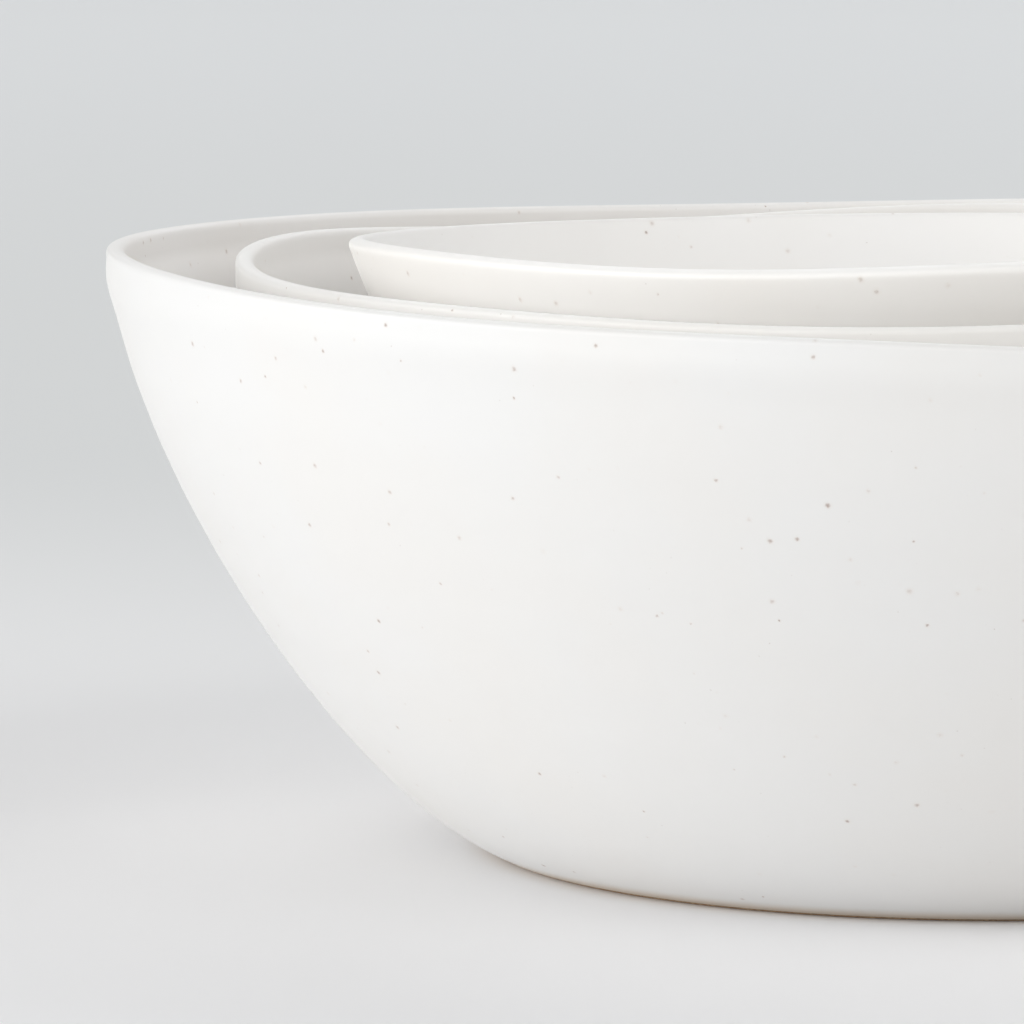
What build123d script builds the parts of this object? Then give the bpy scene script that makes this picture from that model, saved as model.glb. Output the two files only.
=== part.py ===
from build123d import *
from math import asin, cos, degrees, radians, sin
import os

# A nest of three ceramic bowls: one wide, round-bellied form in three sizes, each standing inside
# the next one up. Millimetres, +Z up. The origin is the middle of the large bowl's foot, on the
# surface that it stands on, and -Y is the front. Every bowl is turned about its own axis.

# The large bowl, outside
RIM_RADIUS = 140.0
HEIGHT = 95.2
FOOT_RADIUS = 77.9

# Walls, alike on all three
WALL = 4.4              # where the wall meets the floor, thinning upwards
LIP = 3.0               # across the rounded lip
FLOOR_HEIGHT = 8.5      # from the foot up to the middle of the inside
FOOT_RING = 7.0         # width of the ring that a bowl stands on
RECESS_DEPTH = 2.5      # how far the underside is hollowed inside that ring

# Form of the outside curve, as angles above level and as shares of the overhang and the height
FOOT_ANGLE = 22.2       # leaving the foot
RIM_ANGLE = 84.3        # reaching the lip
SMALL_RIM_ANGLE = 69.0  # the same on the small bowl, which flares more
FOOT_REACH = 0.44       # how long the curve keeps the foot's angle
RIM_REACH = 0.31        # how long it keeps the rim's
FLOOR_BLEND = 0.30      # how far along it, foot to rim, the rounded floor reaches on the inside

# How the bowls nest, from each to the next one down in size
MEDIUM_LIP_GAP = 17.6   # level space from the large bowl's lip to the medium one's
SMALL_LIP_GAP = 16.1
MEDIUM_FOOT_STEP = 11.5 # how much smaller the radius of the foot is
SMALL_FOOT_STEP = 10.6
MEDIUM_LIP_RISE = 0.0   # how much higher the lip stands in the nest
SMALL_LIP_RISE = 3.9
SMALL_FORWARD = 8.0     # the small bowl has slid this far forward, so it leans back
REST_GAP = 0.25         # between a foot and the floor that it rests on

WALL_POINTS = 9         # points that carry the outside curve over to the inside of the wall
HALVINGS = 40           # steps to find a height on the inside curve


class Bowl:
    """One bowl in its own frame, where x is the radius and z the height above its foot."""

    def __init__(self, rim_radius, height, foot_radius, rim_angle):
        self.rim_radius = rim_radius
        self.height = height
        self.foot_radius = foot_radius
        self.rim_angle = rim_angle
        self.outside, self.lip = self.outside_and_lip()
        self.inside = self.inside_curve()

    def outside_and_lip(self):
        """The outside is one Bezier curve from the foot to the lip, and the lip is half a circle."""
        rise = Vector(cos(radians(self.rim_angle)), 0, sin(radians(self.rim_angle)))
        inward = Vector(-rise.Z, 0, rise.X)
        lip_centre = Vector(self.rim_radius - LIP / 2, 0, self.height - LIP / 2)
        top = lip_centre - inward * (LIP / 2)
        foot = Vector(self.foot_radius, 0, 0)
        spread = Vector(cos(radians(FOOT_ANGLE)), 0, sin(radians(FOOT_ANGLE)))
        foot_handle = foot + spread * (FOOT_REACH * (self.rim_radius - self.foot_radius))
        rim_handle = top - rise * (RIM_REACH * self.height)
        outside = Bezier(foot, foot_handle, rim_handle, top)
        lip = ThreePointArc(top, lip_centre + rise * (LIP / 2), lip_centre + inward * (LIP / 2))
        return outside, lip

    def wall_point(self, share):
        """The point inside the outside curve by the wall's thickness there, from WALL to LIP."""
        along = self.outside % share
        thickness = LIP + (WALL - LIP) * (1 - share) / (1 - FLOOR_BLEND)
        return (self.outside @ share) + Vector(-along.Z, 0, along.X) * thickness

    def inside_curve(self):
        """A parabola for the floor, level at the axis, runs on into a spline beside the outside."""
        step = (1 - FLOOR_BLEND) / (WALL_POINTS - 1)
        points = [self.wall_point(FLOOR_BLEND + step * i) for i in range(WALL_POINTS)]
        low_slope = self.outside % FLOOR_BLEND
        points[-1] = self.lip @ 1
        wall = Spline(points, tangents=[low_slope, self.outside % 1])
        run = (points[0].Z - FLOOR_HEIGHT) * low_slope.X / low_slope.Z
        floor_corner = Vector(points[0].X - run, 0, FLOOR_HEIGHT)
        floor = Bezier(Vector(0, 0, FLOOR_HEIGHT), floor_corner, points[0])
        return Wire([floor, wall])

    def inside_height(self, radius):
        """Height of the inside surface at a radius, found by halving along the inside curve."""
        low, high = 0.0, 1.0
        for _ in range(HALVINGS):
            middle = (low + high) / 2
            if (self.inside @ middle).X < radius:
                low = middle
            else:
                high = middle
        return (self.inside @ low).Z

    def solid(self):
        """The profile turned about the axis, closed by the recessed underside and the foot ring."""
        recess_radius = self.foot_radius - FOOT_RING
        underside = Polyline(
            (0, 0, FLOOR_HEIGHT),
            (0, 0, RECESS_DEPTH),
            (recess_radius - RECESS_DEPTH, 0, RECESS_DEPTH),
            (recess_radius, 0, 0),
            (self.foot_radius, 0, 0),
        )
        outline = Wire([*underside.edges(), self.outside.edge(), self.lip.edge(), *self.inside.edges()])
        return revolve(Face(outline), Axis.Z)


def nest():
    """The three bowls in place, by name. Each one's seat and lip level set its height."""
    large = Bowl(RIM_RADIUS, HEIGHT, FOOT_RADIUS, RIM_ANGLE)

    medium_foot = FOOT_RADIUS - MEDIUM_FOOT_STEP
    medium_seat = large.inside_height(medium_foot) + REST_GAP
    medium_lip = HEIGHT + MEDIUM_LIP_RISE
    medium_rim = RIM_RADIUS - LIP - MEDIUM_LIP_GAP
    medium = Bowl(medium_rim, medium_lip - medium_seat, medium_foot, RIM_ANGLE)

    # The small bowl rests on the front and the back of its foot, and the floor is higher in front.
    small_foot = medium_foot - SMALL_FOOT_STEP
    front = medium.inside_height(small_foot + SMALL_FORWARD)
    back = medium.inside_height(small_foot - SMALL_FORWARD)
    lean = degrees(asin((front - back) / (2 * small_foot)))
    small_seat = medium_seat + (front + back) / 2 + REST_GAP
    small_lip = medium_lip + SMALL_LIP_RISE
    small_rim = medium_rim - LIP - SMALL_LIP_GAP
    small = Bowl(small_rim, small_lip - small_seat, small_foot, SMALL_RIM_ANGLE)

    return {
        "large_bowl": large.solid(),
        "medium_bowl": Pos(0, 0, medium_seat) * medium.solid(),
        "small_bowl": Pos(0, -SMALL_FORWARD, small_seat) * Rot(-lean, 0, 0) * small.solid(),
    }


os.makedirs("parts", exist_ok=True)
for name, bowl in nest().items():
    export_step(bowl, f"parts/{name}.step")
    box = bowl.bounding_box()
    print(f"{name}: {bowl.volume / 1000:.1f} cm3, from z {box.min.Z:.2f} to {box.max.Z:.2f}")
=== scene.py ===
from math import atan2, cos, pi, radians, sin, tau

import bpy
import numpy as np
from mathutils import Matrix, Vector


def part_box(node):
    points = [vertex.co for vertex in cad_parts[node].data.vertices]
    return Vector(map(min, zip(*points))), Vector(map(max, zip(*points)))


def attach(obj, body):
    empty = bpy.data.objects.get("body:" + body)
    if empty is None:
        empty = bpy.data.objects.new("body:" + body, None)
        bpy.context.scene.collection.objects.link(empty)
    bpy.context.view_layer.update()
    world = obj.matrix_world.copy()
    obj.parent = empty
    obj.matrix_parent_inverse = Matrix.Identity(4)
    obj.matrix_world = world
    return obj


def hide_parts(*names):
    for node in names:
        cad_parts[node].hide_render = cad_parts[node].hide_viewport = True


# A nest of three thrown stoneware bowls in a satin white glaze with iron speckles. Each bowl is one
# closed surface: a profile carried round its own axis, with a rim that wanders as a thrown rim does.
# Metres, +Z up, -Y is the front. Angles round a bowl are in degrees from the front, to the left.

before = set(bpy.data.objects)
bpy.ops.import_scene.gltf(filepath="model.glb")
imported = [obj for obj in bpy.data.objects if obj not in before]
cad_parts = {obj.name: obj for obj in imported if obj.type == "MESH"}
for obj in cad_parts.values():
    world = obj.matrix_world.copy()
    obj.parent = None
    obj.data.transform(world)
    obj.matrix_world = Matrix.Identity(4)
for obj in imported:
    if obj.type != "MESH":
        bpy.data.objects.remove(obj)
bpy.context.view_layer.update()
MM = 0.001

# ---- The potter's sizes, alike on all three bowls ------------------------------------------------
WALL = 4.4 * MM             # where the wall meets the floor
LIP = 3.0 * MM              # across the rounded lip
FLOOR_HEIGHT = 8.5 * MM     # from the foot up to the middle of the inside
FOOT_RING = 7.0 * MM        # width of the ring that a bowl stands on
RECESS_DEPTH = 2.5 * MM     # how far the underside is hollowed inside that ring
FOOT_ANGLE = 22.2           # above level, leaving the foot
FOOT_REACH = 0.44
RIM_REACH = 0.31
FLOOR_BLEND = 0.30          # how far along the outside curve the rounded floor reaches
SMALL_FORWARD = 8.0 * MM    # the small bowl has slid this far to the front, and leans back

# ---- What the hands and the kiln add ------------------------------------------------------------
GLAZE = 0.20 * MM           # thickness of the glaze where it stops above the foot
BARE_BAND = 0.9 * MM        # bare clay left along the outside curve, measured from the foot's edge
GLAZE_EDGE = 0.35 * MM      # over this length the glaze rounds down to the clay
RING_EDGE = 0.45 * MM       # the foot ring's edges are rubbed round over this length
LIP_FULLNESS = 0.72         # 1 is a round lip, less is squarer
LIP_SLOPE = 0.22            # how much lower the lip is at its inner edge, as a share of its height
SWELLING_TOP = 3.0 * MM     # the swelling under the lip is full this far below it
SWELLING_END = 10.0 * MM    # and has run out here
DEEP_IN_GLAZE = 5.0 * MM    # distance past the glaze's edge that stands for glaze all over
RECESS_GLAZE = 2.2 * MM     # the same where the glaze of the hollow underside begins
THROWING_PITCH = 9.0 * MM   # height that the fingers climb in one turn of the wheel
THROWING_DEPTH = 0.02 * MM

# ---- Mesh ---------------------------------------------------------------------------------------
TURN_STEPS = 432            # steps round a bowl
DENSE_STEP = 0.16 * MM      # spacing of the rows across the glaze's edge


# ================================================================================================
# Surfaces
# ================================================================================================
def bezier(points, share):
    """A Bezier curve of any order by repeated mixing: each round mixes neighbouring points."""
    rounds = [np.asarray(p, float)[None, :] for p in points]
    share = share[:, None]
    while len(rounds) > 1:
        rounds = [a * (1 - share) + b * share for a, b in zip(rounds, rounds[1:])]
    return rounds[0]


def smooth_step(low, high, value):
    """0 below low, 1 above high and 3t^2 - 2t^3 between them."""
    t = np.clip((value - low) / (high - low), 0, 1)
    return t * t * (3 - 2 * t)


def waves(around, crests):
    """Sum of cosines: each entry is waves round the bowl, how high they stand, where one crests."""
    return sum(high * np.cos(count * (around - radians(crest))) for count, high, crest in crests)


class Curve:
    """A planar curve as many points, read by how far along it they are."""

    def __init__(self, points):
        self.points = points
        steps = np.linalg.norm(np.diff(points, axis=0), axis=1)
        self.along = np.concatenate([[0], np.cumsum(steps)])
        self.length = self.along[-1]
        slopes = np.gradient(points, self.along, axis=0)
        self.slopes = slopes / np.linalg.norm(slopes, axis=1)[:, None]

    def read(self, table, distance):
        return np.stack([np.interp(distance, self.along, table[:, i]) for i in (0, 1)], axis=1)

    def at(self, distance):
        return self.read(self.points, distance)

    def inward(self, distance):
        slope = self.read(self.slopes, distance)
        return np.stack([-slope[:, 1], slope[:, 0]], axis=1)


def outside_curve(rim_radius, height, foot_radius, rim_angle, shoulder):
    """Radius and height up the outside: one cubic Bezier that leaves the foot at FOOT_ANGLE and
    comes to the lip at the rim's angle, then a low swelling of that height just under the lip.
    Returned with the lip's middle and its direction."""
    rise = np.array([cos(radians(rim_angle)), sin(radians(rim_angle))])
    inward = np.array([-rise[1], rise[0]])
    lip_centre = np.array([rim_radius - LIP / 2, height - LIP / 2])
    top = lip_centre - inward * (LIP / 2)
    foot = np.array([foot_radius, 0.0])
    spread = np.array([cos(radians(FOOT_ANGLE)), sin(radians(FOOT_ANGLE))])
    foot_handle = foot + spread * (FOOT_REACH * (rim_radius - foot_radius))
    rim_handle = top - rise * (RIM_REACH * height)
    curve = Curve(bezier([foot, foot_handle, rim_handle, top], np.linspace(0, 1, 4001)))
    below = curve.length - curve.along
    swelling = smooth_step(0, SWELLING_TOP, below)
    swelling *= 1 - smooth_step(SWELLING_TOP, SWELLING_END, below)
    outward = -curve.inward(curve.along) * (shoulder * swelling)[:, None]
    return Curve(curve.points + outward), lip_centre, rise


def bowl_profile(rim_radius, height, foot_radius, rim_angle, shoulder):
    """Rows of radius and height, of distance past the glaze's edge, and of how far inside they are
    (0 to 1), from the middle of the underside out over the foot ring, up the outside, over the
    lip and down the inside to its middle."""
    outside, lip_centre, rise = outside_curve(rim_radius, height, foot_radius, rim_angle, shoulder)
    recess = foot_radius - FOOT_RING

    # Underside: level, then a rounded shoulder down to the ring, which is flat with rubbed edges
    shoulder_top = np.array([recess - 2 * RECESS_DEPTH, RECESS_DEPTH])
    shoulder_corners = [shoulder_top, [recess - RECESS_DEPTH, RECESS_DEPTH], [recess, 0],
                        [recess + RING_EDGE, 0]]
    level = np.stack([np.linspace(0, shoulder_top[0], 16)[:-1], np.full(15, RECESS_DEPTH)], axis=1)
    shoulder = bezier(shoulder_corners, np.linspace(0, 1, 18))
    ring_end = foot_radius - RING_EDGE
    ring = np.stack([np.linspace(recess + RING_EDGE, ring_end, 7)[1:-1], np.zeros(5)], axis=1)
    past_edge = np.array([RING_EDGE])
    ring_rounding = [[ring_end, 0], [foot_radius, 0], outside.at(past_edge)[0]]
    edge = bezier(ring_rounding, np.linspace(0, 1, 9))[:-1]

    # Outside: close rows where the glaze stops, wider ones above
    dense = np.arange(RING_EDGE, BARE_BAND + 1.2 * MM, DENSE_STEP)
    wide = np.linspace(dense[-1], outside.length, 66)[1:]
    climb = np.concatenate([dense, wide])
    out_wall = outside.at(climb)

    # Lip: half of a rounded square whose top slopes down to the inside
    turn = np.linspace(0, pi, 21)[1:-1]
    inward = np.array([-rise[1], rise[0]])
    across = -np.sign(np.cos(turn)) * np.abs(np.cos(turn)) ** LIP_FULLNESS
    upward = np.sin(turn) ** LIP_FULLNESS * (1 - LIP_SLOPE * (1 + across) / 2)
    lip = lip_centre + (LIP / 2) * (np.outer(across, inward) + np.outer(upward, rise))

    # Inside: the outside set in by a wall that thickens downwards, then a parabola for the floor
    share = np.linspace(1, FLOOR_BLEND, 56)
    thickness = LIP + (WALL - LIP) * (1 - share) / (1 - FLOOR_BLEND)
    down = share * outside.length
    in_wall = outside.at(down) + outside.inward(down) * thickness[:, None]
    slope = outside.read(outside.slopes, down[-1:])[0]
    run = (in_wall[-1, 1] - FLOOR_HEIGHT) * slope[0] / slope[1]
    floor_points = [in_wall[-1], [in_wall[-1, 0] - run, FLOOR_HEIGHT], [0, FLOOR_HEIGHT]]
    floor = bezier(floor_points, np.linspace(0, 1, 30))[1:]

    stretches = [level, shoulder, ring, edge, out_wall, lip, in_wall, floor]
    glazed = DEEP_IN_GLAZE
    shoulder_way = np.linspace(0, 1, len(shoulder)) * 2.4 * RECESS_DEPTH
    past_glaze = [
        np.full(len(level), glazed),
        RECESS_GLAZE - shoulder_way,
        np.full(len(ring), -glazed),
        np.full(len(edge), -glazed),
        np.clip(climb - BARE_BAND, -glazed, glazed),
        np.full(len(lip), glazed),
        np.full(len(in_wall), glazed),
        np.full(len(floor), glazed),
    ]
    before_lip = sum(len(s) for s in stretches[:5])
    row_number = np.arange(sum(len(s) for s in stretches))
    inside = np.clip((row_number - before_lip) / len(lip), 0, 1)
    return np.concatenate(stretches), np.concatenate(past_glaze), inside


def turned_surface(profile, past_glaze, hand):
    """The profile carried round the axis, closed at both middles. The height gains the rim's waves
    times the cube of its share of the wall, the radius gains the out-of-round and the throwing
    spiral, and bare clay lies under the glaze by the glaze's thickness."""
    around = np.linspace(0, tau, TURN_STEPS, endpoint=False)
    rows = profile[1:-1]
    radius, height = rows[:, :1], rows[:, 1:]
    share = height / profile[:, 1].max()

    slope = np.gradient(profile, axis=0)
    slope /= np.linalg.norm(slope, axis=1)[:, None]
    into_clay = np.stack([-slope[:, 1], slope[:, 0]], axis=1)[1:-1]

    # The glaze's edge wanders a little round the foot
    edge_wander = waves(around, hand["glaze_edge"])[None, :]
    past = past_glaze[1:-1, None] - edge_wander
    bared = 1 - smooth_step(-GLAZE_EDGE / 2, GLAZE_EDGE / 2, past)
    off_the_table = smooth_step(0, 0.6 * MM, height)
    set_in = GLAZE * bared * off_the_table

    spiral = np.sin(tau * height / THROWING_PITCH - around[None, :] + hand["turn"])
    spiral *= THROWING_DEPTH * smooth_step(0.15, 0.4, share) * (1 - smooth_step(0.9, 0.97, share))
    out_of_round = waves(around, hand["out_of_round"])[None, :] * share**2
    full_radius = radius + into_clay[:, :1] * set_in + spiral + out_of_round
    full_height = height + into_clay[:, 1:] * set_in + waves(around, hand["rim"])[None, :] * share**3

    across, towards = -full_radius * np.sin(around), -full_radius * np.cos(around)
    turned = np.stack([across, towards, full_height], axis=-1)
    count = len(rows)
    points = np.concatenate([
        [[0, 0, profile[0, 1]]],
        turned.reshape(-1, 3),
        [[0, 0, profile[-1, 1]]],
    ])
    glaze_value = np.concatenate([[past_glaze[0]], past.ravel(), [past_glaze[-1]]])
    return points, glaze_value, ring_faces(count, TURN_STEPS)


def ring_faces(rows, steps):
    """Squares between neighbouring rows and steps, and a fan of triangles at each pole."""
    index = 1 + np.arange(rows * steps).reshape(rows, steps)
    onward = np.roll(index, -1, axis=1)
    squares = np.stack([index[:-1], index[1:], onward[1:], onward[:-1]], axis=-1).reshape(-1, 4)
    first = np.stack([np.zeros(steps, int), index[0], onward[0]], axis=-1)
    last = np.stack([index[-1], np.full(steps, rows * steps + 1), onward[-1]], axis=-1)
    return squares.tolist() + first.tolist() + last.tolist()


def leaned(points, lean, seat, forward):
    """Turned about X so that the front comes up by the lean, then lifted and moved to the front."""
    x, y, z = points.T
    back = y * cos(lean) + z * sin(lean)
    up = -y * sin(lean) + z * cos(lean)
    return np.stack([x, back - forward, up + seat], axis=-1)


def make_piece(name, points, faces, values, material):
    """A smooth object at the origin, with a value of each name at every point."""
    mesh = bpy.data.meshes.new(name)
    mesh.from_pydata(points.tolist(), [], faces)
    for value_name, value in values.items():
        layer = mesh.attributes.new(value_name, "FLOAT", "POINT")
        layer.data.foreach_set("value", value.astype(np.float32))
    mesh.polygons.foreach_set("use_smooth", np.ones(len(mesh.polygons), bool))
    mesh.materials.append(material)
    mesh.update()
    piece = bpy.data.objects.new(name, mesh)
    bpy.context.scene.collection.objects.link(piece)
    return piece


# ================================================================================================
# Materials
# ================================================================================================
class Nodes:
    """Short calls for the nodes that the materials use."""

    def __init__(self, material):
        material.use_nodes = True
        self.tree = material.node_tree
        self.tree.nodes.clear()

    def add(self, kind, inputs=(), **settings):
        node = self.tree.nodes.new("ShaderNode" + kind)
        for key, value in settings.items():
            setattr(node, key, value)
        for key, value in dict(inputs).items():
            if isinstance(value, bpy.types.NodeSocket):
                self.tree.links.new(value, node.inputs[key])
            else:
                node.inputs[key].default_value = value
        return node

    def math(self, operation, a, b=0.0, clamp=False):
        return self.add("Math", {0: a, 1: b}, operation=operation, use_clamp=clamp).outputs[0]

    def noise(self, place, scale, detail=2.0, roughness=0.5):
        inputs = {"Vector": place, "Scale": scale, "Detail": detail, "Roughness": roughness}
        return self.add("TexNoise", inputs).outputs["Fac"]

    def ramp(self, value, low, high, to_low=0.0, to_high=1.0):
        """A smooth step between two values, carried to a new range."""
        inputs = {"Value": value, "From Min": low, "From Max": high, "To Min": to_low, "To Max": to_high}
        return self.add("MapRange", inputs, interpolation_type="SMOOTHSTEP").outputs["Result"]

    def mix(self, share, a, b):
        node = self.add("Mix", {"Factor": share}, data_type="RGBA")
        for key, value in (("A", a), ("B", b)):
            socket = [s for s in node.inputs if s.name == key and s.type == "RGBA"][0]
            if isinstance(value, bpy.types.NodeSocket):
                self.tree.links.new(value, socket)
            else:
                socket.default_value = (*value, 1.0)
        return [s for s in node.outputs if s.type == "RGBA"][0]


def specks(nodes, place, spacing, largest, share, softness):
    """Spots of iron as slices through small balls, one in some of the cells of a 3-D Voronoi
    pattern: the mask, and a random value of its own for each spot."""
    cells = nodes.add("TexVoronoi", {"Vector": place, "Scale": 1 / spacing, "Randomness": 1.0})
    split = nodes.add("SeparateColor", {"Color": cells.outputs["Color"]}).outputs
    picked = nodes.math("LESS_THAN", split["Red"], share)
    size = nodes.math("MULTIPLY_ADD", split["Green"], 0.65)
    size.node.inputs[2].default_value = 0.35
    reach = nodes.math("MULTIPLY", size, largest / spacing)
    nearness = nodes.math("DIVIDE", cells.outputs["Distance"], reach)
    mask = nodes.ramp(nearness, 1.0, 1.0 - softness)
    return nodes.math("MULTIPLY", mask, picked), split["Blue"]


def speckled_glaze(name, outside_white_with_painted_light, inside_white_with_painted_light, offset):
    """Satin white glaze over stoneware that shows bare and toasted at the foot, with painted shade
    darkening the glaze just above the foot.
    """
    material = bpy.data.materials.new(name)
    nodes = Nodes(material)
    object_place = nodes.add("TexCoord").outputs["Object"]
    place = nodes.add("Mapping", {"Vector": object_place, "Location": offset}).outputs["Vector"]

    # Spots are not quite round: their places are pushed about by fine noise
    fray = nodes.add("TexNoise", {"Vector": place, "Scale": 2600.0, "Detail": 1.0}).outputs["Color"]
    centred = nodes.add("VectorMath", {0: fray, 1: (0.5, 0.5, 0.5)}, operation="SUBTRACT").outputs[0]
    push = nodes.add("VectorMath", {0: centred, "Scale": 0.35 * MM}, operation="SCALE").outputs[0]
    frayed = nodes.add("VectorMath", {0: place, 1: push}, operation="ADD").outputs[0]

    # The glaze: clouds of slightly warmer and cooler white
    clouds = nodes.noise(place, 22.0, 3.0)
    inside = nodes.add("Attribute", attribute_name="inside").outputs["Fac"]
    # Painted light and shade: the coat's white differs between outside and inside and from bowl to bowl,
    # lighter where more light reaches
    coat_with_painted_light = nodes.mix(inside, outside_white_with_painted_light, inside_white_with_painted_light)
    white = nodes.mix(nodes.ramp(clouds, 0.35, 0.65, 0.0, 0.12), coat_with_painted_light, (0.80, 0.74, 0.66))

    iron, iron_strength = specks(nodes, frayed, 4.7 * MM, 0.56 * MM, 0.9, 0.9)
    dust, dust_strength = specks(nodes, frayed, 2.7 * MM, 0.20 * MM, 0.8, 0.8)
    halo, _ = specks(nodes, frayed, 4.7 * MM, 0.95 * MM, 0.9, 1.0)
    iron_share = nodes.math("MULTIPLY", iron, nodes.ramp(iron_strength, 0.0, 1.0, 0.2, 0.75))
    dust_share = nodes.math("MULTIPLY", dust, nodes.ramp(dust_strength, 0.0, 1.0, 0.05, 0.4))
    halo_share = nodes.math("MULTIPLY", halo, 0.16)
    tinted = nodes.mix(halo_share, white, (0.62, 0.46, 0.34))
    dusted = nodes.mix(dust_share, tinted, (0.30, 0.22, 0.17))
    glazed = nodes.mix(iron_share, dusted, (0.33, 0.225, 0.19))

    # Bare clay: sandy, with darker and paler grit
    grit = nodes.noise(place, 1900.0, 4.0, 0.7)
    patches = nodes.noise(place, 160.0, 3.0)
    clay = nodes.mix(nodes.ramp(grit, 0.38, 0.66), (0.33, 0.215, 0.13), (0.52, 0.38, 0.25))
    clay = nodes.mix(nodes.ramp(patches, 0.4, 0.7, 0.0, 0.35), clay, (0.36, 0.20, 0.11))

    # Where one gives way to the other, with a tan under the glaze's edge that fades out over some 4.6
    # mm: partly the clay's real toasting, partly painted shade where the wall comes close to the floor
    past_glaze = nodes.add("Attribute", attribute_name="past_glaze").outputs["Fac"]
    ragged = nodes.math("MULTIPLY_ADD", nodes.noise(place, 900.0, 3.0), 0.3)
    nodes.tree.links.new(past_glaze, ragged.node.inputs[2])
    covered = nodes.ramp(ragged, 0.10, 0.24)
    # Painted shade as well as toasting: the glaze is darkened towards tan near its edge above the foot
    toasted_and_painted_shade = nodes.ramp(ragged, 4.6, 0.1, 0.0, 0.72)
    edge_glaze = nodes.mix(toasted_and_painted_shade, glazed, (0.56, 0.44, 0.31))
    colour = nodes.mix(covered, clay, edge_glaze)

    # Satin with slow changes in gloss; iron breaks through matt, and clay is matt
    gloss = nodes.ramp(nodes.noise(place, 60.0, 3.0), 0.3, 0.7, 0.44, 0.53)
    marked = nodes.math("MULTIPLY_ADD", iron, 0.2)
    nodes.tree.links.new(gloss, marked.node.inputs[2])
    uncovered = nodes.math("SUBTRACT", 1.0, covered)
    rough = nodes.math("MULTIPLY_ADD", uncovered, 0.5, clamp=True)
    nodes.tree.links.new(marked, rough.node.inputs[2])

    # Skin: the glaze's faint orange peel and pits at the specks, the clay's grit
    peel = nodes.math("MULTIPLY", nodes.noise(place, 700.0, 2.0), 0.006)
    pits = nodes.math("MULTIPLY", iron, -0.03)
    glaze_skin = nodes.math("ADD", peel, pits)
    clay_skin = nodes.math("MULTIPLY", grit, 0.12)
    skin_mix = nodes.add("Mix", {0: covered, 2: clay_skin, 3: glaze_skin}, data_type="FLOAT").outputs[0]
    bump = nodes.add("Bump", {"Height": skin_mix, "Strength": 1.0, "Distance": MM}).outputs["Normal"]

    inputs = {"Base Color": colour, "Roughness": rough, "Normal": bump, "IOR": 1.5}
    shader = nodes.add("BsdfPrincipled", inputs)
    nodes.add("OutputMaterial", {"Surface": shader.outputs[0]})
    return material


# ================================================================================================
# The studio
# ================================================================================================
SOFT_WHITE = (0.985, 0.995, 1.0)
NEST_MIDDLE = (0.0, 0.0, 0.05)


def studio_camera():
    """A long lens a little above the rim, turned to the left of the nest."""
    data = bpy.data.cameras.new("camera")
    data.lens = 261.2
    data.sensor_width = 36.0
    data.clip_start = 0.05
    data.clip_end = 50.0
    camera = bpy.data.objects.new("camera", data)
    camera.location = (0.0, -1.2, 0.1904)
    camera.rotation_euler = (pi / 2 - 0.1134, 0.0, 0.0623)
    bpy.context.scene.collection.objects.link(camera)
    bpy.context.scene.camera = camera


def soft_light(name, place, width, height, power):
    """A rectangular light that faces the middle of the nest."""
    data = bpy.data.lights.new(name, "AREA")
    data.shape = "RECTANGLE"
    data.size = width
    data.size_y = height
    data.energy = power
    data.color = SOFT_WHITE
    lamp = bpy.data.objects.new(name, data)
    lamp.location = place
    x, y, z = np.array(NEST_MIDDLE) - np.array(place)
    lamp.rotation_euler = (atan2(float(np.hypot(x, y)), -z), 0.0, atan2(-x, y))
    lamp.visible_camera = False
    bpy.context.scene.collection.objects.link(lamp)


def studio_world(colour, strength):
    world = bpy.data.worlds.new("soft_room")
    world.use_nodes = True
    background = world.node_tree.nodes["Background"]
    background.inputs["Color"].default_value = (*colour, 1.0)
    background.inputs["Strength"].default_value = strength
    bpy.context.scene.world = world


def paper_floor():
    """A wide flat disc of pale paper with painted shade: darker and cooler going back from the nest, for
    the light that falls off with distance.
    """
    radius, steps = 9.0, 96
    around = np.linspace(0, tau, steps, endpoint=False)
    rim = np.stack([radius * np.cos(around), radius * np.sin(around), np.zeros(steps)], axis=-1)
    mesh = bpy.data.meshes.new("paper_floor")
    mesh.from_pydata(rim.tolist(), [], [list(range(steps))])
    material = bpy.data.materials.new("pale_paper")
    nodes = Nodes(material)
    place = nodes.add("TexCoord").outputs["Object"]
    depth = nodes.add("SeparateXYZ", {"Vector": place}).outputs["Y"]
    # Painted shade: the paper's colour darkens and cools with distance back from the nest, standing for
    # less light reaching it
    painted_shade_going_back = nodes.mix(nodes.ramp(depth, 0.04, 0.6), (0.90, 0.894, 0.898), (0.728, 0.736, 0.735))
    colour = nodes.mix(nodes.ramp(depth, 0.8, 2.4), painted_shade_going_back, (0.735, 0.745, 0.752))
    grain = nodes.noise(place, 1500.0, 3.0)
    bump = nodes.add("Bump", {"Height": grain, "Strength": 0.25, "Distance": 0.0001}).outputs["Normal"]
    inputs = {"Base Color": colour, "Roughness": 0.85, "Normal": bump, "Specular IOR Level": 0.2}
    shader = nodes.add("BsdfPrincipled", inputs)
    nodes.add("OutputMaterial", {"Surface": shader.outputs[0]})
    mesh.materials.append(material)
    floor = bpy.data.objects.new("paper_floor", mesh)
    bpy.context.scene.collection.objects.link(floor)


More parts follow.
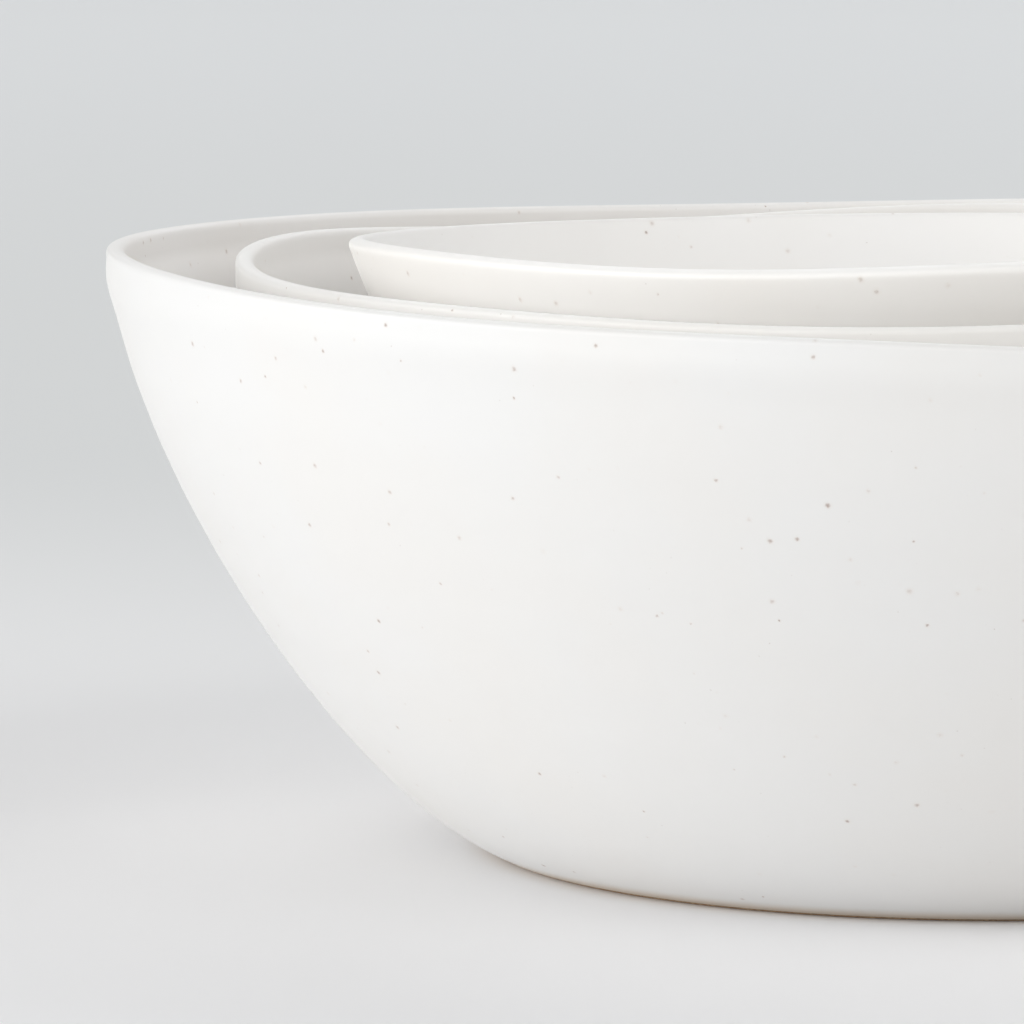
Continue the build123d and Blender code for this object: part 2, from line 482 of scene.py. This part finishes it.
# ================================================================================================
# The nest
# ================================================================================================
# Waves as (how many round the bowl, how high, where one crests)
LARGE_HAND = {
    "rim": [(1, 1.46 * MM, 110), (2, 1.31 * MM, 79), (3, 0.63 * MM, 50), (4, 0.90 * MM, 13),
            (5, 0.53 * MM, -5)],
    "out_of_round": [(2, 0.22 * MM, 35), (3, 0.12 * MM, 80)],
    "glaze_edge": [(2, 0.20 * MM, 20), (5, 0.12 * MM, 40), (11, 0.07 * MM, 9)],
    "turn": 0.4,
}
MEDIUM_HAND = {
    "rim": [(1, 0.15 * MM, 0), (2, 0.24 * MM, -79), (3, 0.63 * MM, -29), (4, 0.41 * MM, -5),
            (5, 0.70 * MM, -33)],
    "out_of_round": [(2, 0.20 * MM, 120), (3, 0.10 * MM, 20)],
    "glaze_edge": [(3, 0.20 * MM, 70), (4, 0.12 * MM, 10), (9, 0.07 * MM, 30)],
    "turn": 2.1,
}
SMALL_HAND = {
    "rim": [(1, 1.18 * MM, -6), (2, 0.23 * MM, 18), (3, 0.47 * MM, -15), (4, 0.60 * MM, -17),
            (5, 0.26 * MM, -22)],
    "out_of_round": [(2, 0.16 * MM, 60), (3, 0.10 * MM, 110)],
    "glaze_edge": [(2, 0.18 * MM, 140), (5, 0.12 * MM, 0), (10, 0.07 * MM, 12)],
    "turn": 4.0,
}
# Radius of the foot, angle above level where the wall reaches the lip, swelling under the lip
FORM = {
    "large_bowl": (77.9 * MM, 84.3, 0.50 * MM),
    "medium_bowl": (66.4 * MM, 84.3, 0.38 * MM),
    "small_bowl": (55.8 * MM, 69.0, 0.0),
}
SMALL_LEAN = radians(1.17)


def upright_size(node):
    """Rim radius, height and seat of a bowl that stands level."""
    low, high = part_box(node)
    return (high.x - low.x) / 2, high.z - low.z, low.z


def leaning_size(node):
    """The same for a bowl that leans back: the foot's back edge is its lowest point, and the front
    of the lip, half a lip in from the rim's radius, is its highest."""
    low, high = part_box(node)
    rim_radius = (high.x - low.x) / 2
    seat = low.z + FORM[node][0] * sin(SMALL_LEAN)
    lip_rise = (rim_radius - LIP / 2) * sin(SMALL_LEAN) + LIP / 2
    height = (high.z - seat - lip_rise) / cos(SMALL_LEAN) + LIP / 2
    return rim_radius, height, seat


def make_bowl(body, size, hand, outside_white_with_painted_light, inside_white_with_painted_light, offset, lean=0.0, forward=0.0):
    """One bowl, made in its own frame and set down in its place in the nest."""
    rim_radius, height, seat = size
    profile, past_glaze, inside = bowl_profile(rim_radius, height, *FORM[body])
    points, glaze_value, faces = turned_surface(profile, past_glaze, hand)
    inside_value = np.concatenate([inside[:1], np.repeat(inside[1:-1], TURN_STEPS), inside[-1:]])
    values = {"past_glaze": glaze_value / MM, "inside": inside_value}
    material = speckled_glaze(body + "_speckled_glaze", outside_white_with_painted_light, inside_white_with_painted_light, offset)
    placed = leaned(points, lean, seat, forward)
    piece = make_piece(body + "_thrown", placed, faces, values, material)
    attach(piece, body)
    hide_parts(body)
    return piece


studio_camera()
bpy.context.scene.view_settings.view_transform = "Standard"
studio_world(SOFT_WHITE, 0.31)
for light in (
    ("window", (-2.81, -3.34, 1.1), 3.2, 1.7, 80.0),
    ("side_window", (-4.30, -0.76, 1.1), 3.2, 1.7, 78.0),
    ("front_wall", (1.84, -3.95, 1.1), 3.2, 1.7, 15.0),
    ("white_wall", (3.18, -1.84, 2.6), 3.2, 3.0, 57.0),
    ("right_wall", (3.45, 1.26, 2.6), 3.2, 3.0, 38.0),
    ("back_wall", (0.0, 3.67, 2.6), 3.2, 3.0, 50.0),
    ("left_wall", (-2.81, 2.36, 2.6), 3.2, 3.0, 12.0),
):
    soft_light(*light)
paper_floor()

# Each bowl's white, outside and inside, is painted light and shade: the same glaze is made lighter or
# darker on each bowl and on each side to stand for how the light falls there.
# Each call gives the colour outside, the colour inside, and where in the specks the bowl is cut
make_bowl("large_bowl", upright_size("large_bowl"), LARGE_HAND,
          (0.797, 0.79, 0.777), (0.925, 0.9, 0.875), (0.0, 0.0, 0.0))
make_bowl("medium_bowl", upright_size("medium_bowl"), MEDIUM_HAND,
          (0.88, 0.866, 0.842), (0.905, 0.882, 0.855), (0.31, 0.12, 0.07))
make_bowl("small_bowl", leaning_size("small_bowl"), SMALL_HAND,
          (0.94, 0.922, 0.894), (0.895, 0.88, 0.862), (0.13, 0.42, 0.23), SMALL_LEAN, SMALL_FORWARD)
